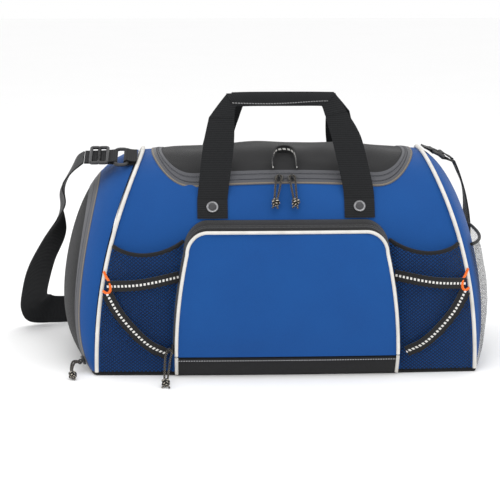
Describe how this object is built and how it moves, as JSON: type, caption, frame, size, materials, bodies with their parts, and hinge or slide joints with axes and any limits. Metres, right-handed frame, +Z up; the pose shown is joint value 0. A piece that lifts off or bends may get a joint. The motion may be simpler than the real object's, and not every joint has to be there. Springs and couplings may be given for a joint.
{
  "type": "duffel bag",
  "caption": "Barrel duffel bag with a zipped lid, front pocket, shoe pocket at one end, mesh side pockets, webbing handles and a shoulder strap.",
  "frame": {"origin": "centre of the base's underside", "axes": "+X along the bag away from the shoe pocket, -Y out of the front pocket, +Z up"},
  "size_m": [0.6285, 0.35, 0.3483],
  "materials": {
    "blue_polyester": "woven polyester, coated inside",
    "charcoal_polyester": "woven polyester",
    "black_polyester": "woven polyester",
    "zip_tape": "knitted zip tape with a coil",
    "cream_piping": "smooth vinyl piping",
    "orange_cord": "round braided cord",
    "black_webbing": "cross-ribbed webbing",
    "black_plastic": "moulded, satin",
    "rivet_metal": "dark nickel",
    "base_board_plastic": "stiff board in a cloth cover",
    "black_mesh": "open knitted mesh",
    "elastic": "elastic ribbon with stitches",
    "pull_cord": "round braided cord with a fleck"
  },
  "bodies": {
    "bag": {"base_panel": "black_polyester", "base_board": "base_board_plastic", "front_panel": "blue_polyester", "back_panel": "blue_polyester", "left_end_band": "blue_polyester", "shoe_pocket_zip_tape": "zip_tape", "shoe_pocket_sill": "charcoal_polyester", "shoe_pocket_divider": "charcoal_polyester", "right_end_panel": "blue_polyester", "end_mesh_pocket": "black_mesh", "end_pocket_binding": "black_polyester", "left_piping": "cream_piping", "right_piping": "cream_piping", "lid_opening_tape": "zip_tape", "front_pocket_gusset": "black_polyester", "front_pocket_band": "black_polyester", "left_mesh_pocket": "black_mesh", "right_mesh_pocket": "black_mesh", "left_pocket_binding": "black_polyester", "right_pocket_binding": "black_polyester", "left_upper_elastic": "elastic", "right_upper_elastic": "elastic", "left_lower_elastic": "elastic", "right_lower_elastic": "elastic", "left_cord_loop": "orange_cord", "right_cord_loop": "orange_cord", "front_handle_anchor_left": "black_webbing", "front_handle_anchor_right": "black_webbing", "back_handle_anchor_left": "black_webbing", "back_handle_anchor_right": "black_webbing", "front_rivet_left": "rivet_metal", "front_rivet_right": "rivet_metal", "back_rivet_left": "rivet_metal", "back_rivet_right": "rivet_metal", "strap_tab_left": "black_webbing", "strap_tab_right": "black_webbing", "strap_ring_left": "black_plastic", "strap_ring_right": "black_plastic", "strap_end_left": "black_webbing", "strap_end_right": "black_webbing", "strap_adjuster": "black_plastic"},
    "lid": {"lid_panel": "charcoal_polyester", "lid_tape": "zip_tape", "lid_pull_loop": "black_webbing"},
    "front_pocket": {"front_pocket_panel": "blue_polyester", "front_pocket_piping": "cream_piping"},
    "shoe_flap": {"shoe_pocket_flap": "charcoal_polyester"},
    "front_handle": {"front_handle": "black_webbing"},
    "back_handle_root": {"back_handle_root_left": "black_webbing", "back_handle_root_right": "black_webbing"},
    "back_handle": {"back_handle": "black_webbing"},
    "strap": {"shoulder_strap": "black_webbing"},
    "lid_slider_left": {"lid_slider_left": "black_plastic"},
    "lid_slider_right": {"lid_slider_right": "black_plastic"},
    "front_pocket_slider": {"front_pocket_slider": "black_plastic"},
    "shoe_pocket_slider": {"shoe_pocket_slider": "black_plastic"},
    "lid_pull_left": {"lid_pull_left": "pull_cord"},
    "lid_pull_right": {"lid_pull_right": "pull_cord"},
    "front_pocket_pull": {"front_pocket_pull": "pull_cord"},
    "shoe_pocket_pull": {"shoe_pocket_pull": "pull_cord"}
  },
  "joints": [
    {"name": "lid_open", "type": "hinge", "parent": "bag", "child": "lid", "pos_m": [0, 0.0874, 0.236], "axis": [-1, 0, 0], "range_deg": [0, 105]},
    {"name": "lid_slider_left_slide", "type": "slide", "parent": "bag", "child": "lid_slider_left", "axis": [-1, 0, 0], "range_m": [0, 0.045]},
    {"name": "lid_slider_right_slide", "type": "slide", "parent": "bag", "child": "lid_slider_right", "axis": [1, 0, 0], "range_m": [0, 0.045]},
    {"name": "lid_pull_left_swing", "type": "hinge", "parent": "lid_slider_left", "child": "lid_pull_left", "pos_m": [-0.008, -0.0896, 0.2463], "axis": [-1, 0, 0], "range_deg": [0, 100]},
    {"name": "lid_pull_right_swing", "type": "hinge", "parent": "lid_slider_right", "child": "lid_pull_right", "pos_m": [0.008, -0.0896, 0.2463], "axis": [-1, 0, 0], "range_deg": [0, 100]},
    {"name": "front_pocket_open", "type": "hinge", "parent": "bag", "child": "front_pocket", "pos_m": [0, -0.1455, 0.0265], "axis": [1, 0, 0], "range_deg": [0, 80]},
    {"name": "front_pocket_slider_slide", "type": "slide", "parent": "bag", "child": "front_pocket_slider", "axis": [0.06, 0, 0.9982], "range_m": [0, 0.06]},
    {"name": "front_pocket_pull_swing", "type": "hinge", "parent": "front_pocket_slider", "child": "front_pocket_pull", "pos_m": [-0.14672, -0.14356, 0.0365], "axis": [-1, 0, 0], "range_deg": [0, 70]},
    {"name": "strap_swing", "type": "hinge", "parent": "bag", "child": "strap", "pos_m": [-0.25461, -0.04304, 0.2647], "axis": [0.9953, 0.0932, -0.0245], "range_deg": [0, 150]},
    {"name": "shoe_pocket_open", "type": "hinge", "parent": "bag", "child": "shoe_flap", "pos_m": [-0.2748, 0, 0.0278], "axis": [0, -1, 0], "range_deg": [0, 60]},
    {"name": "shoe_pocket_slider_slide", "type": "slide", "parent": "bag", "child": "shoe_pocket_slider", "axis": [-0.3134, 0, 0.9496], "range_m": [0, 0.03]},
    {"name": "shoe_pocket_pull_swing", "type": "hinge", "parent": "shoe_pocket_slider", "child": "shoe_pocket_pull", "pos_m": [-0.2602, -0.1114, 0.0141], "axis": [-0.4582, 0.8888, 0], "range_deg": [0, 60]},
    {"name": "front_handle_swing", "type": "hinge", "parent": "bag", "child": "front_handle", "pos_m": [0, -0.0978, 0.2175], "axis": [1, 0, 0], "range_deg": [0, 100]},
    {"name": "back_handle_fold", "type": "hinge", "parent": "bag", "child": "back_handle_root", "pos_m": [0, 0.0978, 0.2175], "axis": [-1, 0, 0], "range_deg": [0, 70]},
    {"name": "back_handle_swing", "type": "hinge", "parent": "back_handle_root", "child": "back_handle", "pos_m": [0, 0.093, 0.2301], "axis": [-1, 0, 0], "range_deg": [0, 100]}
  ],
  "couplings": [
    {"joint": "back_handle_fold", "follows": "lid_open", "ratio": 0.62},
    {"joint": "shoe_pocket_open", "follows": "strap_swing", "ratio": 0.4}
  ]
}
